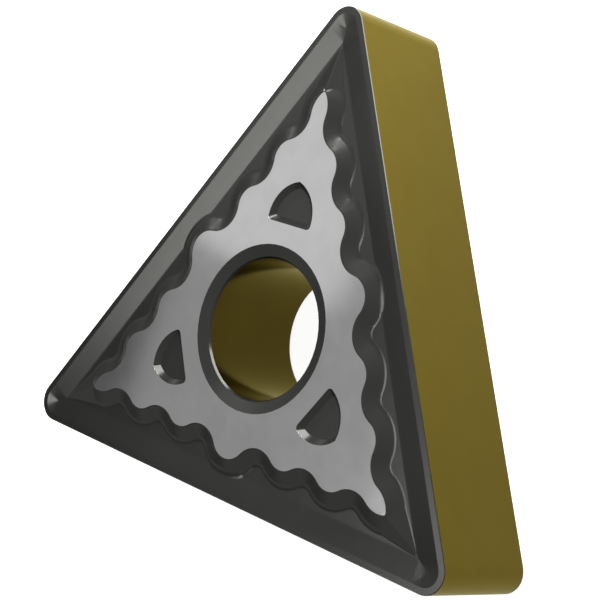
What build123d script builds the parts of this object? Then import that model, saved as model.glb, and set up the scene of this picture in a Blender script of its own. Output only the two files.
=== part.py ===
from build123d import *
from math import asin, atan2, cos, radians, sin, sqrt, tan
import os

os.makedirs("parts", exist_ok=True)

# Negative triangular turning insert, one sintered piece with a chip groove on both faces.
# Frame: origin at the centre of the bore at mid thickness, +Z along the bore,
# +Y towards one of the three noses. Lengths in millimetres, angles in degrees.

# Outline and thickness, the latter from a seating face to the cutting edge opposite
INSCRIBED_CIRCLE = 12.7
THICKNESS = 4.76
NOSES = 3
NOSE_RADIUS = 0.8
EDGE_BEVEL = 0.025

# Chip groove: flat land, rake face, flat floor, drafted wall up to the island
LAND_WIDTH = 0.25
RAKE_ANGLE = 8.0
RAKE_END = 1.09
ISLAND_RISE = 0.12
WALL_ANGLE = 23.0
CREASE_RADIUS = 0.5
FOOT_RADIUS = 0.5
RIM_BEVEL = 0.028

# Steeper rake at each nose: facets that start a setback short of the rake's foot, then a
# cone round the nose arc, with a dimple where they all meet
NOSE_RAKE_ANGLE = 10.0
FACET_SETBACK = 0.06
DIMPLE_RADIUS = 0.06
DIMPLE_DEPTH = 0.005

# Scalloped outline of the island: crests of knobs, notches and the shoulders at its tips.
# Depths are inward from the cutting edge, and the shoulder offset is from its centre to the
# line from bore to nose. The first notch lies at a share of the way to the last one.
MIDDLE_KNOB_DEPTH = 1.47
SIDE_KNOB_DEPTH = 1.885
SIDE_KNOBS = 2
NOTCH_DEPTH = 2.285
NOTCH_RADIUS = 1.0
FIRST_NOTCH_SHARE = 0.2518
SHOULDER_RADIUS = 1.05
SHOULDER_OFFSET = 0.674
TIP_RADIUS = 0.12

# Ridge from each island tip down to the corner of the floor
RIDGE_OVERLAP = 0.02
RIDGE_RADIUS = 0.15
RIDGE_FOOT_RADIUS = 0.3

# Bore with a shallow countersink at both faces
BORE_DIAMETER = 5.16
COUNTERSINK_DIAMETER = 6.15
COUNTERSINK_DEPTH = 0.155
LIP_BEVEL = 0.06

# Key pocket near each nose: a flat side towards the bore and two arcs meeting at an apex,
# with a drafted wall down to a smaller floor
POCKET_FLAT = 3.86
POCKET_ARC_CENTRE = 4.08
POCKET_ARC_OFFSET = 0.37
POCKET_ARC_RADIUS = 1.41
POCKET_CORNER_RADIUS = 0.17
POCKET_APEX_RADIUS = 0.06
POCKET_DEPTH = 0.18
POCKET_DRAFT_WIDTH = 0.2
POCKET_FLOOR_CORNER_RADIUS = 0.08
POCKET_FLOOR_APEX_RADIUS = 0.03

# Length by which cutters reach past the face they cut, and how closely levels are told apart
CUT_ROOM = 0.3
LEVEL_MARGIN = 0.001

# Levels and lengths that follow from the sizes above
side = INSCRIBED_CIRCLE / 2
turn = 360 / NOSES
half_corner = 90 - turn / 2
corner = side / sin(radians(half_corner))
nose_centre = corner - NOSE_RADIUS / sin(radians(half_corner))
edge_level = (THICKNESS - ISLAND_RISE) / 2
island_level = edge_level + ISLAND_RISE
floor_level = edge_level - (RAKE_END - LAND_WIDTH) * tan(radians(RAKE_ANGLE))
facet_depth = RAKE_END - FACET_SETBACK
facet_drop = (facet_depth - LAND_WIDTH) * tan(radians(RAKE_ANGLE))
nose_drop = (NOSE_RADIUS - LAND_WIDTH) * tan(radians(NOSE_RAKE_ANGLE))
wall_height = island_level - floor_level
wall_run = wall_height / tan(radians(WALL_ANGLE))


def at_level(shapes, level):
    """Those of the shapes whose centre lies at a level."""
    return shapes.filter_by_position(Axis.Z, level - LEVEL_MARGIN, level + LEVEL_MARGIN)


def knob_radius(span, drop):
    """Radius of a knob that touches a notch whose crest is a span away and a drop deeper."""
    return (span**2 + drop**2) / (2 * drop) - NOTCH_RADIUS


def touch(one, two):
    """Point where two neighbouring arcs of the island outline touch."""
    gap = two[0] - one[0]
    if gap.length > max(one[1], two[1]):
        return one[0] + gap * (one[1] / (one[1] + two[1]))
    if one[1] > two[1]:
        return one[0] + gap.normalized() * one[1]
    return two[0] - gap.normalized() * two[1]


# Place of the shoulder along the side, and of the notch beside it, which touches it
shoulder_depth = SIDE_KNOB_DEPTH + SHOULDER_RADIUS
shoulder_place = SHOULDER_OFFSET / sin(radians(half_corner))
shoulder_place += (side - shoulder_depth) / tan(radians(half_corner))
sum_of_radii = SHOULDER_RADIUS + NOTCH_RADIUS
side_drop = NOTCH_DEPTH - SIDE_KNOB_DEPTH
last_notch = shoulder_place - sqrt(sum_of_radii**2 - (sum_of_radii - side_drop) ** 2)
first_notch = FIRST_NOTCH_SHARE * last_notch
knob_pitch = (last_notch - first_notch) / SIDE_KNOBS

# Arcs of half a side from its middle towards the nose: position, depth of centre, radius
middle_radius = knob_radius(first_notch, NOTCH_DEPTH - MIDDLE_KNOB_DEPTH)
side_radius = knob_radius(knob_pitch / 2, side_drop)
half_side = [(0.0, MIDDLE_KNOB_DEPTH + middle_radius, middle_radius)]
for count in range(SIDE_KNOBS):
    s = first_notch + count * knob_pitch
    half_side.append((s, NOTCH_DEPTH - NOTCH_RADIUS, NOTCH_RADIUS))
    half_side.append((s + knob_pitch / 2, SIDE_KNOB_DEPTH + side_radius, side_radius))
half_side.append((last_notch, NOTCH_DEPTH - NOTCH_RADIUS, NOTCH_RADIUS))
half_side.append((shoulder_place, shoulder_depth, SHOULDER_RADIUS))
whole_side = [(-s, depth, radius) for s, depth, radius in reversed(half_side[1:])] + half_side

# The small arc of the island tip touches both shoulders, on the line from bore to nose
tip_axis = Vector(cos(radians(half_corner)), -sin(radians(half_corner)))
shoulder_along = Vector(shoulder_place, shoulder_depth - side).dot(tip_axis)
tip_centre = shoulder_along + sqrt((SHOULDER_RADIUS - TIP_RADIUS) ** 2 - SHOULDER_OFFSET**2)
tip_end = tip_centre + TIP_RADIUS

# Centre and radius of every arc, once round the island
arcs = []
for nose in range(NOSES):
    for s, depth, radius in whole_side:
        arcs.append((Vector(s, depth - side).rotate(Axis.Z, turn * nose), radius))
    arcs.append(((tip_axis * tip_centre).rotate(Axis.Z, turn * nose), TIP_RADIUS))

# Cutter for the rake face along one side and the facets that steepen it towards both noses
with BuildPart() as rake_cutter:
    nose_end = (NOSE_RADIUS, nose_drop)
    facet_end = (facet_depth, facet_drop)
    for way, (depth, drop) in ((-1, nose_end), (-1, facet_end), (1, facet_end), (1, nose_end)):
        s = way * (side - depth) / tan(radians(half_corner))
        with BuildSketch(Plane(origin=(s, -side, edge_level), x_dir=(0, 1, 0), z_dir=(1, 0, 0))):
            Polygon(
                (LAND_WIDTH, 0),
                (depth, -drop),
                (depth, CUT_ROOM),
                (LAND_WIDTH, CUT_ROOM),
                align=None,
            )
    loft(ruled=True)

# Cutter for the floor, which meets the foot of the rake faces in soft creases
with BuildPart() as floor_cutter:
    for level, depth in ((edge_level - facet_drop, facet_depth), (floor_level, RAKE_END)):
        with BuildSketch(Plane.XY.offset(level)):
            RegularPolygon(side - depth, NOSES, major_radius=False, rotation=90)
    loft(ruled=True)
    fillet(faces().sort_by(Axis.Z)[0].edges(), CREASE_RADIUS)
    extrude(faces().sort_by(Axis.Z)[-1], amount=CUT_ROOM)

# Cutter for the rake face round a nose: a shallow cone about the centre of the nose arc,
# with a small dimple where it meets the facets
with BuildPart() as nose_cutter:
    with BuildSketch(Plane.XZ.offset(-nose_centre)):
        dimple_rim = DIMPLE_RADIUS * tan(radians(NOSE_RAKE_ANGLE))
        Polygon(
            (0, edge_level - nose_drop - DIMPLE_DEPTH),
            (DIMPLE_RADIUS, edge_level - nose_drop + dimple_rim),
            (NOSE_RADIUS - LAND_WIDTH, edge_level),
            (NOSE_RADIUS - LAND_WIDTH, edge_level + CUT_ROOM),
            (0, edge_level + CUT_ROOM),
            align=None,
        )
    revolve(axis=Axis((0, nose_centre, 0), (0, 0, 1)))

# Island with its scalloped outline, drafted outward down to the floor
with BuildPart() as island:
    with BuildSketch(Plane.XY.offset(island_level)):
        with BuildLine():
            for i, (centre, radius) in enumerate(arcs):
                start = touch(arcs[i - 1], arcs[i])
                end = touch(arcs[i], arcs[(i + 1) % len(arcs)])
                middle = centre + ((start - centre) + (end - centre)).normalized() * radius
                ThreePointArc(start, middle, end)
        make_face()
    extrude(amount=-wall_height, taper=WALL_ANGLE - 90)

# Ridge ahead of one island tip: a kite trimmed by two flanks, which meet the floor along
# lines just inside the tangents to the foot of the wall round both shoulders
ridge_end = corner - RAKE_END / sin(radians(half_corner))
foot_reach = SHOULDER_RADIUS + wall_run - RIDGE_OVERLAP
reach = sqrt((ridge_end - shoulder_along) ** 2 + SHOULDER_OFFSET**2)
spread = asin(foot_reach / reach) - atan2(SHOULDER_OFFSET, ridge_end - shoulder_along)
flank = Vector(sin(spread), -cos(spread)) * sqrt(reach**2 - foot_reach**2)
ridge_top = tip_end - RIM_BEVEL
flank_normal = flank.cross(Vector(0, ridge_end - ridge_top, -wall_height))
ridge_kite = [
    (0, ridge_end),
    (flank.X, ridge_end + flank.Y),
    (0, shoulder_along),
    (-flank.X, ridge_end + flank.Y),
]
with BuildPart() as ridge:
    with BuildSketch(Plane.XY.offset(floor_level)):
        Polygon(ridge_kite, align=None)
    extrude(amount=wall_height)
    for way in (1, -1):
        normal = Vector(way * flank_normal.X, flank_normal.Y, flank_normal.Z)
        split(bisect_by=Plane(origin=(0, ridge_top, island_level), z_dir=normal), keep=Keep.BOTTOM)
    slopes = edges().filter_by_position(Axis.Z, floor_level, island_level, inclusive=(False, False))
    fillet(slopes.sort_by(Axis.Y)[-1], RIDGE_RADIUS)

    # Slab under the floor that carries the fillets along the feet of both flanks
    with BuildSketch(Plane.XY.offset(floor_level)):
        Polygon(ridge_kite, align=None)
        offset(amount=RIDGE_FOOT_RADIUS, kind=Kind.INTERSECTION)
    extrude(amount=-CUT_ROOM)
    slab_top = at_level(faces().filter_by(Axis.Z), floor_level)[0]
    fillet(slab_top.inner_wires()[0].edges().sort_by(Axis.Y)[-3:], RIDGE_FOOT_RADIUS)

# Cutter for one key pocket, narrower at its floor than at the island face
with BuildPart() as pocket_cutter:
    mouth = (0, 0, POCKET_CORNER_RADIUS, POCKET_APEX_RADIUS)
    bottom = (POCKET_DEPTH, POCKET_DRAFT_WIDTH, POCKET_FLOOR_CORNER_RADIUS, POCKET_FLOOR_APEX_RADIUS)
    for depth, inset, corner_radius, apex_radius in (mouth, bottom):
        with BuildSketch(Plane.XY.offset(island_level - depth)):
            with Locations((-POCKET_ARC_OFFSET, POCKET_ARC_CENTRE)):
                Circle(POCKET_ARC_RADIUS - inset)
            with Locations((POCKET_ARC_OFFSET, POCKET_ARC_CENTRE)):
                Circle(POCKET_ARC_RADIUS - inset, mode=Mode.INTERSECT)
            with Locations((0, POCKET_FLAT + inset)):
                Rectangle(
                    2 * POCKET_ARC_RADIUS,
                    2 * POCKET_ARC_RADIUS,
                    align=(Align.CENTER, Align.MIN),
                    mode=Mode.INTERSECT,
                )
            fillet(vertices().group_by(Axis.Y)[0], corner_radius)
            fillet(vertices().sort_by(Axis.Y)[-1], apex_radius)
    loft(ruled=True)

# Cutter for the bore and the countersink of the upper face, with the lip between them bevelled
with BuildPart() as bore_cutter:
    with BuildSketch(Plane.XZ):
        lip = (BORE_DIAMETER / 2, island_level - COUNTERSINK_DEPTH)
        Polygon(
            (0, -CUT_ROOM),
            (BORE_DIAMETER / 2, -CUT_ROOM),
            lip,
            (COUNTERSINK_DIAMETER / 2, island_level),
            (COUNTERSINK_DIAMETER / 2, island_level + CUT_ROOM),
            (0, island_level + CUT_ROOM),
            align=None,
        )
        chamfer(vertices().sort_by_distance(lip)[0], LIP_BEVEL)
    revolve(axis=Axis.Z)

with BuildPart() as insert:
    # Upper half of the prism, from mid thickness to the cutting edges
    with BuildSketch(Plane.XY):
        RegularPolygon(side, NOSES, major_radius=False, rotation=90)
        fillet(vertices(), NOSE_RADIUS)
    extrude(amount=edge_level)
    chamfer(faces().sort_by(Axis.Z)[-1].edges(), EDGE_BEVEL)

    # Chip groove
    with PolarLocations(0, NOSES):
        add(rake_cutter.part, mode=Mode.SUBTRACT)
        add(nose_cutter.part, mode=Mode.SUBTRACT)
    add(floor_cutter.part, mode=Mode.SUBTRACT)

    # Island, blended into the groove along its foot and bevelled along its rim
    add(island.part)
    walls = faces().filter_by(GeomType.CONE)
    walls = walls.filter_by(lambda face: face.bounding_box().max.Z > island_level - LEVEL_MARGIN)
    foot = walls.edges().filter_by_position(
        Axis.Z, floor_level - LEVEL_MARGIN, (floor_level + edge_level) / 2
    )
    fillet(foot, FOOT_RADIUS)
    chamfer(at_level(edges(), island_level), RIM_BEVEL)
    with PolarLocations(0, NOSES):
        add(ridge.part)

    # Key pockets and bore, then the lower half as the mirror image of the upper
    with PolarLocations(0, NOSES):
        add(pocket_cutter.part, mode=Mode.SUBTRACT)
    add(bore_cutter.part, mode=Mode.SUBTRACT)
    mirror(about=Plane.XY)

insert.part.label = "insert"
export_step(insert.part, "parts/insert.step")
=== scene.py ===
from math import cos, radians, sin

import bmesh
import bpy
from bpy.props import FloatProperty, FloatVectorProperty, PointerProperty
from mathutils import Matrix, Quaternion, Vector


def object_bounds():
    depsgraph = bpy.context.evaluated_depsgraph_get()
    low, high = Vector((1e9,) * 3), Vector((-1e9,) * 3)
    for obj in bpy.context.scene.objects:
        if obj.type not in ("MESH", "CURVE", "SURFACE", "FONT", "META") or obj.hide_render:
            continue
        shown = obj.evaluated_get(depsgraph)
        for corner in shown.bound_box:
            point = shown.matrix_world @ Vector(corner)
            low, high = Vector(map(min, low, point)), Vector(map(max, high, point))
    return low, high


bl_info = {
    "name": "Carbide insert",
    "version": (1, 0, 0),
    "blender": (4, 5, 0),
    "location": "View3D > Sidebar > Insert",
    "description": "Dresses a triangular coated carbide insert and sets its studio",
    "category": "Object",
}

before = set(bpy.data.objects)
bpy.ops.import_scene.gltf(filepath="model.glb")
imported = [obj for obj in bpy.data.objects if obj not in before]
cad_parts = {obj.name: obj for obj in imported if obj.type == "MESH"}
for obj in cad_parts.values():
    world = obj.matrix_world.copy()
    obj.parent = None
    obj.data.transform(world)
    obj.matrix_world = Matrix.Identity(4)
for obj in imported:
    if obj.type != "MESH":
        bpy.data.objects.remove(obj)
cad_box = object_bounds()
island_level = cad_box[1][2]
floor_level = cad_box[0][2]


def colour(name, description, default):
    """A colour property with its sliders from nought to one."""
    return FloatVectorProperty(
        name=name, description=description, default=default, subtype="COLOR", min=0, max=1
    )


def length(name, description, default):
    """A length property in metres."""
    return FloatProperty(
        name=name, description=description, default=default, unit="LENGTH", precision=6
    )


def angle(name, description, degrees):
    """An angle property, its default given in degrees."""
    return FloatProperty(
        name=name, description=description, default=radians(degrees), subtype="ANGLE"
    )


def share(name, description, default):
    """A plain number from nought to one."""
    return FloatProperty(
        name=name, description=description, default=default, min=0, max=1, subtype="FACTOR"
    )


class InsertCoat(bpy.types.PropertyGroup):
    """Finishes of the insert: dark coat, gold coat and bare ground carbide."""

    dark: colour("Dark coat", "Colour of the coat in the chip groove", (0.019, 0.0196, 0.0175))
    gold: colour("Gold coat", "Colour of the coat on the flanks", (0.066, 0.047, 0.005))
    # The bore colour is the gold coat painted darker inside the hole, a painted shade;
    # shaded_bore_reach sets the radius of that painted shade
    shaded_bore: colour("Bore coat", "Colour of the thinner coat in the bore", (0.055, 0.04, 0.006))
    ground: colour("Ground carbide", "Colour of the ground seating faces", (0.8, 0.8, 0.8))
    dark_roughness: share("Dark roughness", "Roughness of the dark coat", 0.18)
    gold_roughness: share("Gold roughness", "Roughness of the gold coat", 0.4)
    bore_roughness: share("Bore roughness", "Roughness of the coat in the bore", 0.18)
    ground_roughness: share("Ground roughness", "Roughness of the ground faces", 0.1)
    dark_metal: share("Dark metal", "How metallic the dark coat is", 0.3)
    dark_gleam: colour("Dark gleam", "Tint of the shine of the dark coat", (1.0, 1.0, 0.96))
    gold_gleam: colour("Gold gleam", "Tint of the gold coat at its edges", (1.0, 0.94, 0.66))
    skin: length("Ground skin", "Depth under a seating face that counts as ground", 0.0000006)
    shaded_bore_reach: length("Bore reach", "Radius inside which gold is bore coat", 0.0027)
    flank_tilt: share("Flank tilt", "Upright share of the normal where gold gives way", 0.45)
    grain_size: length("Grain size", "Size of the fine grain under the coat", 0.00006)
    lay_pitch: length("Lay pitch", "Distance between the arcs of the face grinding", 0.00009)
    lay_relief: share("Lay relief", "Height of the arcs against that of the grain", 0.4)
    relief: length("Relief", "Height that grain and arcs stand for", 0.0000012)
    relief_strength: share("Relief strength", "How strongly grain and arcs show", 0.15)
    colour_mottle: share("Colour mottle", "How much the colour varies over the face", 0.03)
    shine_mottle: share("Shine mottle", "How much the roughness varies over the face", 0.006)


class InsertStudio(bpy.types.PropertyGroup):
    """Floor, lamps, light from all round and camera."""

    paper: colour("Paper", "Colour of the pale floor", (0.85, 0.85, 0.85))
    paper_roughness: share("Paper roughness", "Roughness of the pale floor", 0.8)
    paper_glow: share("Paper glow", "Whiteness of the floor as the camera sees it", 0.88)
    paper_width: length("Paper width", "Side of the square floor", 1.2)
    fill: share("Fill", "Strength of the even light from all round", 0.45)
    low_fill: share("Low fill", "Strength of the even light near the floor", 0.14)
    low_rise: angle("Low rise", "Height over the floor below which the low fill shines", 12)
    high_rise: angle("High rise", "Height over the floor above which the fill is full", 32)
    card: share("Card", "Strength of the light where a dark card stands", 0.09)
    card_turn: angle("Card turn", "Direction of the dark card round the upright", 189)
    card_rise: angle("Card rise", "Height of the dark card over the floor", 51)
    card_inner: angle("Card core", "Half the width of the darkest part of the card", 14)
    card_outer: angle("Card edge", "Half the width of the card with its soft edge", 26)
    key_power: FloatProperty(name="Key", description="Strength of the key light", default=1.8)
    key_turn: angle("Key turn", "Direction of the key light round the upright", 146)
    key_rise: angle("Key rise", "Height of the key light over the floor", 17)
    key_spread: angle("Key spread", "Apparent size of the key light", 3)
    lens: length("Lens", "Focal length of the camera", 0.097853)
    camera_place: FloatVectorProperty(
        name="Camera place",
        description="Where the camera stands",
        default=(0.03899423, 0.00551311, 0.04560612),
        subtype="TRANSLATION",
        unit="LENGTH",
    )
    camera_turn: FloatVectorProperty(
        name="Camera turn",
        description="Rotation of the camera",
        default=(radians(9.30506), radians(40.26611), radians(20.41083)),
        subtype="EULER",
    )


class Nodes:
    """Short ways to add and join shader nodes in one tree."""

    def __init__(self, tree):
        self.tree = tree

    def add(self, kind, **settings):
        node = self.tree.nodes.new(kind)
        for name, value in settings.items():
            setattr(node, name, value)
        return node

    def feed(self, value, socket):
        if isinstance(value, bpy.types.NodeSocket):
            self.tree.links.new(value, socket)
        else:
            socket.default_value = value

    def math(self, operation, first, second=0.0, third=0.0):
        node = self.add("ShaderNodeMath", operation=operation)
        for value, socket in zip((first, second, third), node.inputs):
            self.feed(value, socket)
        return node.outputs[0]

    def ramp(self, value, low, high, to_low=0.0, to_high=1.0):
        node = self.add("ShaderNodeMapRange", interpolation_type="SMOOTHSTEP")
        for name, setting in (
            ("Value", value),
            ("From Min", low),
            ("From Max", high),
            ("To Min", to_low),
            ("To Max", to_high),
        ):
            self.feed(setting, node.inputs[name])
        return node.outputs["Result"]

    # The Mix node has its sockets once for each kind of data, so they are taken by number
    def mix(self, mask, first, second):
        node = self.add("ShaderNodeMix", data_type="RGBA")
        self.feed(mask, node.inputs[0])
        self.feed(first, node.inputs[6])
        self.feed(second, node.inputs[7])
        return node.outputs[2]

    def blend(self, mask, first, second):
        node = self.add("ShaderNodeMix", data_type="FLOAT")
        self.feed(mask, node.inputs[0])
        self.feed(first, node.inputs[2])
        self.feed(second, node.inputs[3])
        return node.outputs[0]

    def noise(self, vector, scale, detail, roughness):
        node = self.add("ShaderNodeTexNoise")
        self.feed(vector, node.inputs["Vector"])
        node.inputs["Scale"].default_value = scale
        node.inputs["Detail"].default_value = detail
        node.inputs["Roughness"].default_value = roughness
        return node.outputs["Fac"]


WHITE = (1.0, 1.0, 1.0, 1.0)


def solid(rgb):
    """The four values of a colour socket from the three of a property."""
    return (rgb[0], rgb[1], rgb[2], 1.0)


def new_group(name, inputs, outputs):
    """A shader node group with float, vector and colour sockets given by name."""
    group = bpy.data.node_groups.new(name, "ShaderNodeTree")
    for label, kind in inputs:
        group.interface.new_socket(label, in_out="INPUT", socket_type=kind)
    for label, kind in outputs:
        group.interface.new_socket(label, in_out="OUTPUT", socket_type=kind)
    nodes = Nodes(group)
    return nodes, nodes.add("NodeGroupInput"), nodes.add("NodeGroupOutput")


# Scale of the broad mottle against the fine grain
MOTTLE_SCALE = 0.06

# Centres in metres of the two sweeps of the grinding wheel over a face, and how often the relief
# changes along an arc in a radian
WHEEL_CENTRES = ((0.03, 0.012), (-0.026, 0.02))
ARC_CHANGES = 12.0


def sintered_grain():
    """Group for the fine grain of sintered carbide under its coat."""
    nodes, given, result = new_group(
        "Sintered grain",
        [("Vector", "NodeSocketVector"), ("Grain size", "NodeSocketFloat")],
        [("Height", "NodeSocketFloat"), ("Mottle", "NodeSocketFloat")],
    )
    per_metre = nodes.math("DIVIDE", 1.0, given.outputs["Grain size"])
    scaled = nodes.add("ShaderNodeVectorMath", operation="SCALE")
    nodes.feed(given.outputs["Vector"], scaled.inputs[0])
    nodes.feed(per_metre, scaled.inputs["Scale"])
    fine = nodes.noise(scaled.outputs[0], 1.0, detail=3.0, roughness=0.6)
    broad = nodes.noise(scaled.outputs[0], MOTTLE_SCALE, detail=3.0, roughness=0.5)
    nodes.feed(fine, result.inputs["Height"])
    nodes.feed(broad, result.inputs["Mottle"])
    return nodes.tree


def grinding_lay():
    """Group for the crossing fine arcs that face grinding leaves."""
    nodes, given, result = new_group(
        "Grinding lay",
        [("Vector", "NodeSocketVector"), ("Pitch", "NodeSocketFloat")],
        [("Height", "NodeSocketFloat")],
    )
    per_metre = nodes.math("DIVIDE", 1.0, given.outputs["Pitch"])
    heights = []
    for centre in WHEEL_CENTRES:
        away = nodes.add("ShaderNodeVectorMath", operation="SUBTRACT")
        nodes.feed(given.outputs["Vector"], away.inputs[0])
        away.inputs[1].default_value = (centre[0], centre[1], 0.0)
        parts = nodes.add("ShaderNodeSeparateXYZ")
        nodes.feed(away.outputs[0], parts.inputs[0])
        turn = nodes.math("ARCTAN2", parts.outputs["Y"], parts.outputs["X"])
        flat = nodes.add("ShaderNodeCombineXYZ")
        nodes.feed(parts.outputs["X"], flat.inputs["X"])
        nodes.feed(parts.outputs["Y"], flat.inputs["Y"])
        radius = nodes.add("ShaderNodeVectorMath", operation="LENGTH")
        nodes.feed(flat.outputs[0], radius.inputs[0])
        across = nodes.math("MULTIPLY", radius.outputs["Value"], per_metre)
        place = nodes.add("ShaderNodeCombineXYZ")
        nodes.feed(across, place.inputs["X"])
        nodes.feed(nodes.math("MULTIPLY", turn, ARC_CHANGES), place.inputs["Y"])
        heights.append(nodes.noise(place.outputs[0], 1.0, detail=2.0, roughness=0.6))
    nodes.feed(nodes.math("ADD", heights[0], heights[1]), result.inputs["Height"])
    return nodes.tree


def use_group(nodes, group, vector, label, value):
    """Places a group in a material with its own value."""
    node = nodes.add("ShaderNodeGroup", node_tree=group)
    nodes.feed(vector, node.inputs["Vector"])
    node.inputs[label].default_value = value
    return node


# Refractive index of the hard coat
COAT_IOR = 1.7


class INSERT_OT_coat(bpy.types.Operator):
    """Gives the insert its dark, gold and ground finishes"""

    bl_idname = "insert.coat"
    bl_label = "Coat the insert"

    def execute(self, context):
        coat = context.scene.insert_coat
        material = bpy.data.materials.new("Coated carbide")
        material.use_nodes = True
        nodes = Nodes(material.node_tree)
        surface = material.node_tree.nodes["Principled BSDF"]
        where = nodes.add("ShaderNodeTexCoord")
        spot = where.outputs["Object"]
        place = nodes.add("ShaderNodeSeparateXYZ")
        nodes.feed(spot, place.inputs[0])
        facing = nodes.add("ShaderNodeSeparateXYZ")
        nodes.feed(where.outputs["Normal"], facing.inputs[0])

        height = nodes.math("ABSOLUTE", place.outputs["Z"])
        ground = nodes.math("GREATER_THAN", height, island_level - coat.skin)
        tilt = nodes.math("ABSOLUTE", facing.outputs["Z"])
        gold = nodes.math("LESS_THAN", tilt, coat.flank_tilt)
        out_x = nodes.math("POWER", place.outputs["X"], 2.0)
        out_y = nodes.math("POWER", place.outputs["Y"], 2.0)
        radius = nodes.math("SQRT", nodes.math("ADD", out_x, out_y))
        # Mask of the bore: there the gold takes the darker painted-shade colour, and the bore
        # roughness
        shaded_bore = nodes.math("LESS_THAN", radius, coat.shaded_bore_reach)

        grain = use_group(nodes, sintered_grain(), spot, "Grain size", coat.grain_size)
        lay = use_group(nodes, grinding_lay(), spot, "Pitch", coat.lay_pitch)
        mottle = nodes.ramp(grain.outputs["Mottle"], 0.3, 0.7, -1.0, 1.0)

        # Inside the bore the gold is swapped for its darker copy, a painted shade
        gold_or_shaded_bore = nodes.mix(shaded_bore, solid(coat.gold), solid(coat.shaded_bore))
        coated = nodes.mix(gold, solid(coat.dark), gold_or_shaded_bore)
        base = nodes.mix(ground, coated, solid(coat.ground))
        shade = nodes.add("ShaderNodeHueSaturation")
        nodes.feed(base, shade.inputs["Color"])
        value = nodes.math("MULTIPLY_ADD", mottle, coat.colour_mottle, 1.0)
        nodes.feed(value, shade.inputs["Value"])
        nodes.feed(shade.outputs["Color"], surface.inputs["Base Color"])

        metallic = nodes.blend(gold, coat.dark_metal, 1.0)
        nodes.feed(nodes.blend(ground, metallic, 1.0), surface.inputs["Metallic"])
        roughness = nodes.blend(shaded_bore, coat.gold_roughness, coat.bore_roughness)
        roughness = nodes.blend(gold, coat.dark_roughness, roughness)
        roughness = nodes.blend(ground, roughness, coat.ground_roughness)
        roughness = nodes.math("MULTIPLY_ADD", mottle, coat.shine_mottle, roughness)
        nodes.feed(roughness, surface.inputs["Roughness"])
        surface.inputs["IOR"].default_value = COAT_IOR
        gleam = nodes.mix(gold, solid(coat.dark_gleam), solid(coat.gold_gleam))
        nodes.feed(gleam, surface.inputs["Specular Tint"])

        arcs = nodes.math("MULTIPLY", lay.outputs["Height"], coat.lay_relief)
        relief = nodes.blend(ground, grain.outputs["Height"], arcs)
        bump = nodes.add("ShaderNodeBump")
        bump.inputs["Strength"].default_value = coat.relief_strength
        bump.inputs["Distance"].default_value = coat.relief
        nodes.feed(relief, bump.inputs["Height"])
        nodes.feed(bump.outputs["Normal"], surface.inputs["Normal"])

        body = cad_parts["insert"]
        body.data.materials.clear()
        body.data.materials.append(material)
        return {"FINISHED"}


class INSERT_OT_floor(bpy.types.Operator):
    """Lays the pale floor under the insert"""

    bl_idname = "insert.floor"
    bl_label = "Lay the floor"

    def execute(self, context):
        studio = context.scene.insert_studio
        sheet = bmesh.new()
        bmesh.ops.create_grid(sheet, x_segments=1, y_segments=1, size=studio.paper_width / 2)
        bmesh.ops.translate(sheet, verts=sheet.verts, vec=(0, 0, floor_level))
        mesh = bpy.data.meshes.new("floor")
        sheet.to_mesh(mesh)
        sheet.free()
        paper = bpy.data.objects.new("floor", mesh)
        context.scene.collection.objects.link(paper)
        material = bpy.data.materials.new("Paper")
        material.use_nodes = True
        nodes = Nodes(material.node_tree)
        surface = material.node_tree.nodes["Principled BSDF"]
        surface.inputs["Base Color"].default_value = solid(studio.paper)
        surface.inputs["Roughness"].default_value = studio.paper_roughness
        rays = nodes.add("ShaderNodeLightPath")
        seen = nodes.math(
            "MAXIMUM", rays.outputs["Is Camera Ray"], rays.outputs["Is Glossy Ray"]
        )
        seen = nodes.math("MAXIMUM", seen, rays.outputs["Is Transmission Ray"])
        glow = nodes.math("MULTIPLY", seen, studio.paper_glow)
        surface.inputs["Emission Color"].default_value = WHITE
        nodes.feed(glow, surface.inputs["Emission Strength"])
        paper.data.materials.append(material)
        return {"FINISHED"}


def toward(turn, rise):
    """Unit vector at a turn round the upright and a rise over the floor."""
    return Vector((cos(turn) * cos(rise), sin(turn) * cos(rise), sin(rise)))


def add_panel(name, turn, rise, roll, distance, width, depth, power):
    """A soft rectangular lamp that faces the insert."""
    lamp = bpy.data.lights.new(name, "AREA")
    lamp.shape = "RECTANGLE"
    lamp.size = width
    lamp.size_y = depth
    lamp.energy = power
    thing = bpy.data.objects.new(name, lamp)
    direction = toward(radians(turn), radians(rise))
    thing.location = direction * distance
    facing = direction.to_track_quat("Z", "Y") @ Quaternion((0, 0, 1), radians(roll))
    thing.rotation_euler = facing.to_euler()
    bpy.context.scene.collection.objects.link(thing)


# Soft panels: name; turn, rise and roll in degrees; distance, width and depth in metres;
# power in watts. The near ones light the ground face in a slope, the left panel only the rake
# face on the left, and the right panel the upper part of the right flank.
PANELS = (
    ("far panel", 158, 47.5, 0, 0.06, 0.035, 0.019, 0.00068),
    ("wide panel", 176, 53, 0, 0.067, 0.058, 0.024, 0.0009),
    ("left panel", 194, 62, -30, 1.5, 0.43, 0.26, 1.5),
    ("right panel", 80, 20.5, 0, 0.036, 0.038, 0.038, 0.036),
)


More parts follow.
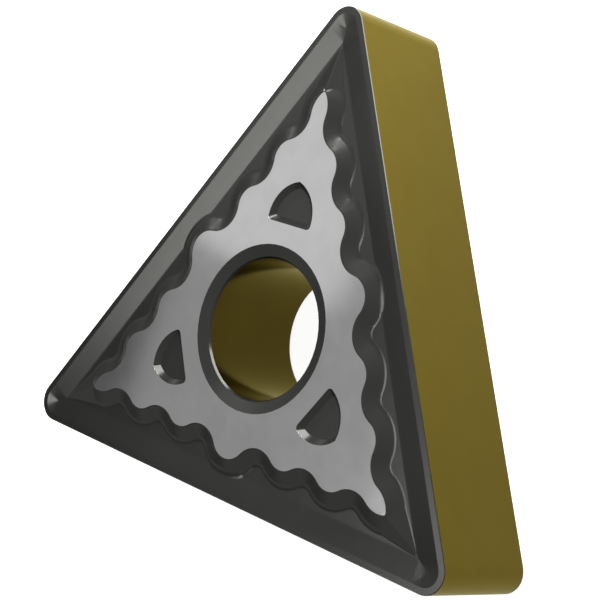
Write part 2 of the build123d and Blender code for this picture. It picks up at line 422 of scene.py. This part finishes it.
class INSERT_OT_lamps(bpy.types.Operator):
    """Sets the key light, the soft panels and the even light from all round"""

    bl_idname = "insert.lamps"
    bl_label = "Set the lamps"

    def execute(self, context):
        studio = context.scene.insert_studio
        sun = bpy.data.lights.new("key", "SUN")
        sun.energy = studio.key_power
        sun.angle = studio.key_spread
        key = bpy.data.objects.new("key", sun)
        direction = toward(studio.key_turn, studio.key_rise)
        key.rotation_euler = direction.to_track_quat("Z", "Y").to_euler()
        context.scene.collection.objects.link(key)
        for panel in PANELS:
            add_panel(*panel)
        world = bpy.data.worlds.new("Studio")
        world.use_nodes = True
        nodes = Nodes(world.node_tree)
        backdrop = world.node_tree.nodes["Background"]
        backdrop.inputs["Color"].default_value = WHITE
        way = nodes.add("ShaderNodeTexCoord")
        near = nodes.add("ShaderNodeVectorMath", operation="DOT_PRODUCT")
        nodes.feed(way.outputs["Generated"], near.inputs[0])
        near.inputs[1].default_value = toward(studio.card_turn, studio.card_rise)
        rise = nodes.add("ShaderNodeSeparateXYZ")
        nodes.feed(way.outputs["Generated"], rise.inputs[0])
        level = nodes.ramp(
            rise.outputs["Z"],
            sin(studio.low_rise),
            sin(studio.high_rise),
            studio.low_fill,
            studio.fill,
        )
        shaded = nodes.ramp(near.outputs["Value"], cos(studio.card_outer), cos(studio.card_inner))
        level = nodes.blend(shaded, level, studio.card)
        nodes.feed(level, backdrop.inputs["Strength"])
        context.scene.world = world
        return {"FINISHED"}


# Camera: millimetres in a metre, sensor width in millimetres, range of view in metres
MM = 1000
SENSOR_WIDTH = 36
NEAREST = 0.001
FARTHEST = 10


class INSERT_OT_camera(bpy.types.Operator):
    """Places the camera"""

    bl_idname = "insert.camera"
    bl_label = "Place the camera"

    def execute(self, context):
        studio = context.scene.insert_studio
        view = bpy.data.cameras.new("camera")
        view.sensor_width = SENSOR_WIDTH
        view.lens = studio.lens * MM
        view.clip_start = NEAREST
        view.clip_end = FARTHEST
        camera = bpy.data.objects.new("camera", view)
        camera.location = studio.camera_place
        camera.rotation_euler = studio.camera_turn
        context.scene.collection.objects.link(camera)
        context.scene.camera = camera
        context.scene.view_settings.view_transform = "Standard"
        return {"FINISHED"}


class INSERT_PT_panel(bpy.types.Panel):
    """Lists the steps and the settings"""

    bl_label = "Carbide insert"
    bl_space_type = "VIEW_3D"
    bl_region_type = "UI"
    bl_category = "Insert"

    def draw(self, context):
        for step in steps:
            self.layout.operator(step.bl_idname)
        for settings in (context.scene.insert_coat, context.scene.insert_studio):
            box = self.layout.box()
            for name in settings.bl_rna.properties.keys():
                if name not in ("rna_type", "name"):
                    box.prop(settings, name)


steps = (INSERT_OT_coat, INSERT_OT_floor, INSERT_OT_lamps, INSERT_OT_camera)
classes = (InsertCoat, InsertStudio) + steps + (INSERT_PT_panel,)


def register():
    for item in classes:
        bpy.utils.register_class(item)
    bpy.types.Scene.insert_coat = PointerProperty(type=InsertCoat)
    bpy.types.Scene.insert_studio = PointerProperty(type=InsertStudio)


def unregister():
    del bpy.types.Scene.insert_studio
    del bpy.types.Scene.insert_coat
    for item in reversed(classes):
        bpy.utils.unregister_class(item)


def main():
    register()
    bpy.ops.insert.coat()
    bpy.ops.insert.floor()
    bpy.ops.insert.lamps()
    bpy.ops.insert.camera()


if __name__ == "__main__":
    main()
